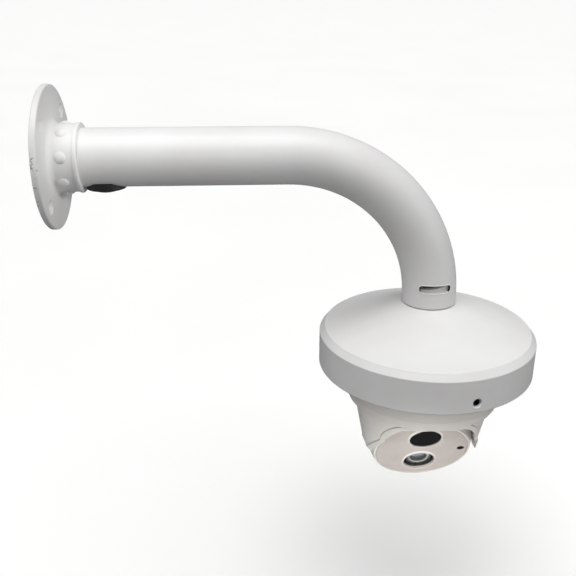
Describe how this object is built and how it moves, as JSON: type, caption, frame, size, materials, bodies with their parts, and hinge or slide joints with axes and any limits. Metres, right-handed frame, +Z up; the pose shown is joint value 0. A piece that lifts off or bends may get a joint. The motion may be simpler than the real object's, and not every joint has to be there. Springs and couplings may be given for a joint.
{
  "type": "security camera",
  "caption": "Turret security camera on a gooseneck wall bracket: round flange, bent tube arm, dished swivelling cap, panning hood and tilting eyeball with lens and infrared windows.",
  "frame": {"origin": "centre of the wall flange's back face, on the arm's axis", "axes": "+X runs out from the wall along the arm, +Z is up, the camera looks towards -Y at rest"},
  "size_m": [0.2795, 0.13, 0.2533],
  "materials": {
    "cast_white": "white powder coat on cast aluminium, semi-gloss",
    "tube_white": "white powder coat on aluminium tube, semi-gloss",
    "sleeve_white": "thin white coat inside the neck, satin",
    "plate_white": "white powder coat on pressed steel",
    "black_rubber": "moulded rubber, matte",
    "black_foam": "closed-cell foam, matte",
    "plated_steel": "zinc-plated steel",
    "black_steel": "black-oxide steel",
    "body_white": "moulded plastic, semi-gloss",
    "ball_white": "moulded plastic, semi-gloss",
    "face_grey": "fine-textured moulded plastic",
    "nylon": "natural nylon",
    "ivory_plastic": "moulded plastic",
    "black_plastic": "moulded plastic",
    "circuit_board": "green solder mask on glass-fibre board",
    "black_window": "infrared-pass filter, polished",
    "clear_glass": "clear polished window",
    "lens_glass": "coated lens glass",
    "filter_glass": "coated filter glass",
    "emitter_resin": "clear resin",
    "sensor_face": "polished silicon under glass",
    "black_anodised": "black anodised, turned",
    "aluminium": "bare milled",
    "bright_metal": "polished",
    "brass": "turned"
  },
  "bodies": {
    "bracket": {"wall_flange": "cast_white", "arm_tube": "tube_white", "collar_rivets": "cast_white", "cable_plug": "black_rubber"},
    "cap_head": {"cap_shell": "cast_white", "swivel_spigot": "sleeve_white", "spigot_screws": "plated_steel", "lock_screw": "plated_steel", "lock_washer": "plated_steel", "mounting_plate": "plate_white", "plate_set_screws": "black_steel", "base_gasket": "black_foam", "camera_base": "body_white", "base_screws": "plated_steel", "base_nuts": "plated_steel", "cable_grommet": "black_rubber", "friction_ring": "nylon", "clamp_ring": "body_white", "base_lock_screw": "black_steel"},
    "hood": {"shroud": "body_white"},
    "cradle": {"tilt_cradle": "ball_white", "trunnion_pins": "plated_steel"},
    "eyeball": {"ball_front_shell": "ball_white", "ball_rear_shell": "ball_white", "shell_oring": "black_rubber", "cable_gland": "black_rubber", "face_plate": "face_grey", "light_sensor_window": "black_window", "light_sensor": "black_plastic", "chassis": "aluminium", "chassis_screws": "plated_steel", "lens_holder": "black_plastic", "lens_barrel": "black_anodised", "lens_ring": "bright_metal", "lens_front_element": "lens_glass", "lens_rear_element": "lens_glass", "ir_cut_filter": "filter_glass", "image_sensor": "sensor_face", "sensor_board": "circuit_board", "main_board": "circuit_board", "board_standoffs": "brass", "processor": "black_plastic", "network_socket": "ivory_plastic", "ir_board": "aluminium", "ir_emitter": "emitter_resin", "ir_reflector": "bright_metal", "heat_sink": "aluminium", "lens_bezel": "ball_white", "ir_bezel": "ball_white", "lens_window": "clear_glass", "ir_window": "black_window"}
  },
  "joints": [
    {"name": "cap_swivel", "type": "hinge", "parent": "bracket", "child": "cap_head", "pos_m": [0.2145, 0, -0.0883], "axis": [0, 0, 1], "range_deg": [-27, 27]},
    {"name": "pan", "type": "hinge", "parent": "cap_head", "child": "hood", "pos_m": [0.2145, 0, -0.1512], "axis": [0, 0, 1], "range_deg": [-180, 180]},
    {"name": "tilt", "type": "hinge", "parent": "hood", "child": "cradle", "pos_m": [0.2145, 0, -0.1809], "axis": [1, 0, 0], "range_deg": [-27, 50]},
    {"name": "roll", "type": "hinge", "parent": "cradle", "child": "eyeball", "pos_m": [0.2145, 0, -0.1809], "axis": [0, -0.891, -0.454], "range_deg": [-180, 180]}
  ]
}
